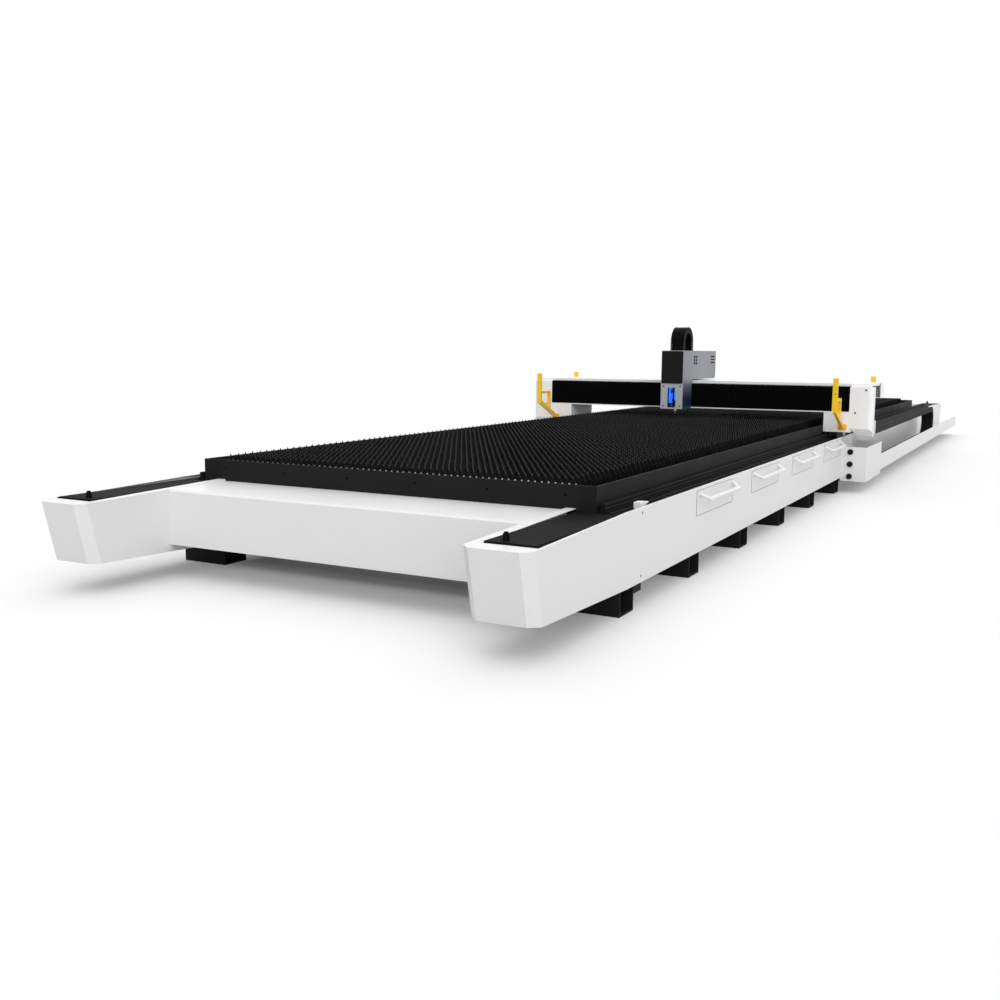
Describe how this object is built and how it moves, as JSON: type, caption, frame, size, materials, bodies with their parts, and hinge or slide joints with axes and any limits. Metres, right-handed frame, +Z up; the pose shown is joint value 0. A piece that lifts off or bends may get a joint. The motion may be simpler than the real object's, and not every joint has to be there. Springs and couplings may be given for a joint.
{
  "type": "gantry laser cutting machine",
  "caption": "Long gantry laser cutting machine: white folded bed with a toothed slat table, moving bridge with cutting head, slag drawers and a side drag chain",
  "frame": {"origin": "on the floor under the middle of the machine's length and width", "axes": "+Z up, +Y along the bed from the front end to the rear end, +X to the side with the drawers"},
  "size_m": [4.5, 19.6, 2.005],
  "materials": {
    "white_paint": "satin powder coat",
    "black_paint": "matt",
    "machined_steel": "ground",
    "oiled_steel": "ground and oiled",
    "slat_steel": "mill scale",
    "rubber_black": "matt",
    "chain_plastic": "matt",
    "bellows_fabric": "coated cloth",
    "yellow_paint": "gloss",
    "silver_paint": "satin metallic",
    "gloss_black": "gloss",
    "head_alloy": "anodised",
    "nozzle_brass": "turned"
  },
  "bodies": {
    "bed": {"front_left_end_box": "white_paint", "front_right_end_box": "white_paint", "rear_left_end_box": "white_paint", "rear_right_end_box": "white_paint", "front_cover": "white_paint", "rear_cover": "white_paint", "left_side_panel": "white_paint", "right_side_panel": "white_paint", "limit_switch": "white_paint", "gland_box": "white_paint", "chain_tray": "white_paint", "left_side_beam": "black_paint", "right_side_beam": "black_paint", "cross_members": "black_paint", "feet": "black_paint", "left_rail_cover": "black_paint", "right_rail_cover": "black_paint", "slat_frame": "black_paint", "slat_carriers": "black_paint", "drawer_runners": "machined_steel", "slats": "slat_steel", "bed_rails": "oiled_steel", "racks": "oiled_steel", "end_stops": "rubber_black", "cable_glands": "chain_plastic", "chain_lower_run": "chain_plastic"},
    "gantry": {"crossbeam": "white_paint", "beam_rails": "machined_steel", "beam_top_cover": "white_paint", "beam_rear_hood": "white_paint", "left_bellows": "bellows_fabric", "right_bellows": "bellows_fabric", "left_truck": "white_paint", "right_truck": "white_paint", "left_end_cover": "white_paint", "right_end_cover": "white_paint", "guide_blocks": "black_paint", "drive_gearboxes": "machined_steel", "guard_posts": "yellow_paint", "chain_bracket": "white_paint", "chain_upper_run": "chain_plastic"},
    "head_carriage": {"carriage": "machined_steel", "head_housing": "silver_paint", "head_front_panel": "gloss_black", "head_chain_loop": "chain_plastic", "z_rails": "machined_steel"},
    "laser_head": {"z_slide": "machined_steel", "cutting_head": "head_alloy", "nozzle": "nozzle_brass"},
    "chain_bend": {"chain_loop": "chain_plastic"},
    "left_drive": {"left_pinion": "machined_steel"},
    "right_drive": {"right_pinion": "machined_steel"},
    "drawer_1": {"slag_drawer_1": "white_paint", "drawer_handle_1": "white_paint"},
    "drawer_2": {"slag_drawer_2": "white_paint", "drawer_handle_2": "white_paint"},
    "drawer_3": {"slag_drawer_3": "white_paint", "drawer_handle_3": "white_paint"},
    "drawer_4": {"slag_drawer_4": "white_paint", "drawer_handle_4": "white_paint"}
  },
  "joints": [
    {"name": "gantry_slide", "type": "slide", "parent": "bed", "child": "gantry", "axis": [0, 1, 0], "range_m": [-6.6, 8.2], "deforming": ["chain_upper_run", "chain_lower_run"]},
    {"name": "carriage_slide", "type": "slide", "parent": "gantry", "child": "head_carriage", "axis": [1, 0, 0], "range_m": [-1.365, 1.635], "deforming": ["left_bellows", "right_bellows"]},
    {"name": "head_lift", "type": "slide", "parent": "head_carriage", "child": "laser_head", "axis": [0, 0, 1], "range_m": [-0.05, 0.1]},
    {"name": "chain_bend_slide", "type": "slide", "parent": "bed", "child": "chain_bend", "axis": [0, 1, 0], "range_m": [-3.3, 4.1]},
    {"name": "left_pinion_turn", "type": "hinge", "parent": "gantry", "child": "left_drive", "pos_m": [-1.777, -1.1, 0.6903], "axis": [1, 0, 0], "range_deg": [-16000, 13000]},
    {"name": "right_pinion_turn", "type": "hinge", "parent": "gantry", "child": "right_drive", "pos_m": [1.777, -1.1, 0.6903], "axis": [1, 0, 0], "range_deg": [-16000, 13000]},
    {"name": "drawer_1_slide", "type": "slide", "parent": "bed", "child": "drawer_1", "axis": [1, 0, 0], "range_m": [0, 0.9]},
    {"name": "drawer_2_slide", "type": "slide", "parent": "bed", "child": "drawer_2", "axis": [1, 0, 0], "range_m": [0, 0.9]},
    {"name": "drawer_3_slide", "type": "slide", "parent": "bed", "child": "drawer_3", "axis": [1, 0, 0], "range_m": [0, 0.9]},
    {"name": "drawer_4_slide", "type": "slide", "parent": "bed", "child": "drawer_4", "axis": [1, 0, 0], "range_m": [0, 0.9]}
  ],
  "couplings": [
    {"joint": "chain_bend_slide", "follows": "gantry_slide", "ratio": 0.5},
    {"joint": "left_pinion_turn", "follows": "gantry_slide", "rad_per_m": -33.333},
    {"joint": "right_pinion_turn", "follows": "gantry_slide", "rad_per_m": -33.333}
  ]
}
